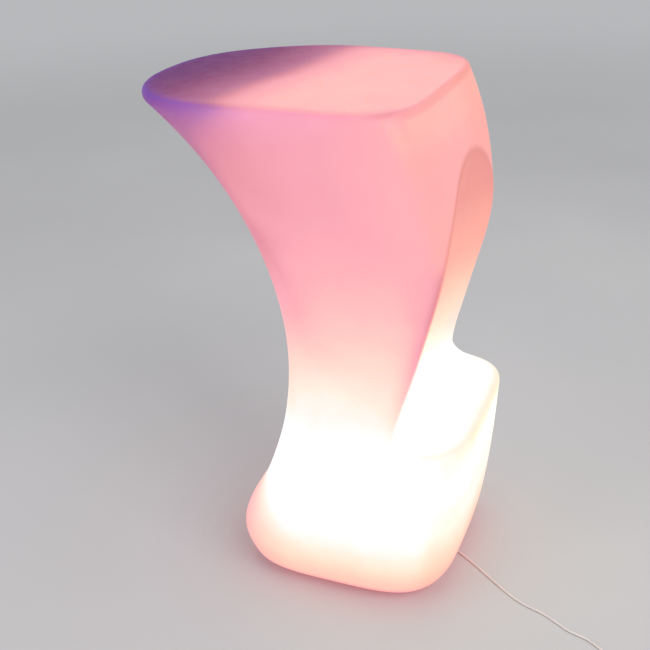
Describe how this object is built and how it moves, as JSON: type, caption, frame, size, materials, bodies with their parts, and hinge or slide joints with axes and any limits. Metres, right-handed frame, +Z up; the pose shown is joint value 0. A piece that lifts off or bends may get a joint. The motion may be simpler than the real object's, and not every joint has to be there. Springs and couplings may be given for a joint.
{
  "type": "led light-up stool",
  "caption": "Bar-height stool: a hollow translucent moulded body lit from inside, with a shin recess, a footrest step and a rechargeable lamp unit in its base.",
  "frame": {"origin": "on the floor under the middle of the stool; the lead, its plug and the adapter are not counted", "axes": "+Z up, -Y towards the stool's front, where the shin recess and the footrest step are; the body is symmetric about X = 0"},
  "size_m": [0.5202, 0.7442, 0.7468],
  "materials": {
    "shell": "translucent white polyethylene, satin, moulded in one piece",
    "white_plastic": "fine moulded texture",
    "foot_rubber": "matt light grey rubber",
    "seal_rubber": "matt",
    "brass": "knurled, turned",
    "stainless": "plain",
    "spring_steel": "drawn wire",
    "nickel": "bright plate",
    "led_plate": "white solder mask on a metal core",
    "led_body": "white package with a yellowish window",
    "dome": "clear, slightly frosted",
    "cell_wrap": "sleeved steel can",
    "black_plastic": "fine moulded texture",
    "green_board": "solder mask on glass fibre",
    "parts_black": "moulded packages",
    "button_plastic": "smooth",
    "wire_red": "insulation",
    "wire_black": "insulation",
    "wire_white": "insulation",
    "wire_yellow": "insulation",
    "lead_sheath": "soft white sheath",
    "adapter_case": "satin moulded case"
  },
  "bodies": {
    "root": {"body_shell": "shell", "vent_plug": "white_plastic", "lamp_unit_inserts": "brass", "foot_inserts": "brass", "front_left_foot": "foot_rubber", "front_right_foot": "foot_rubber", "rear_left_foot": "foot_rubber", "rear_right_foot": "foot_rubber", "foot_screws": "stainless", "lamp_housing": "white_plastic", "housing_gasket": "seal_rubber", "housing_screws": "stainless", "led_board": "led_plate", "led_chips": "led_body", "led_board_screws": "stainless", "led_connector": "white_plastic", "led_leads": "wire_white", "dome_cover": "dome", "dome_seal": "seal_rubber", "dome_screws": "stainless", "battery_cell_1": "cell_wrap", "battery_cell_2": "cell_wrap", "battery_cradle": "black_plastic", "battery_clamp": "black_plastic", "battery_clamp_screws": "stainless", "battery_tabs": "nickel", "battery_leads": "wire_red", "control_board": "green_board", "control_components": "parts_black", "control_board_screws": "stainless", "board_connectors": "white_plastic", "charge_jack": "black_plastic", "charge_jack_nut": "nickel", "cap_anchor": "seal_rubber", "jack_leads": "wire_yellow", "switch_body": "black_plastic", "switch_nut": "nickel", "switch_spring": "spring_steel", "switch_leads": "wire_black", "dc_plug": "lead_sheath", "dc_plug_barrel": "nickel", "dc_lead": "lead_sheath", "dc_lead_coil": "lead_sheath", "dc_lead_tail": "lead_sheath", "coil_tie": "black_plastic", "adapter_case_lower": "adapter_case", "adapter_case_upper": "adapter_case", "adapter_strain_relief": "lead_sheath", "adapter_blades": "nickel", "adapter_board": "green_board", "adapter_components": "parts_black"},
    "button": {"switch_button": "button_plastic"},
    "cap": {"jack_cap": "seal_rubber"}
  },
  "joints": [
    {"name": "power_button", "type": "slide", "parent": "root", "child": "button", "axis": [0, 0, 1], "range_m": [0, 0.002], "stiffness_N_per_m": 500, "springref_m": -0.003, "deforming": ["switch_spring"]},
    {"name": "jack_cap_swing", "type": "hinge", "parent": "root", "child": "cap", "pos_m": [0, -0.076, 0.023], "axis": [0, 0, 1], "range_deg": [-150, 60]}
  ]
}
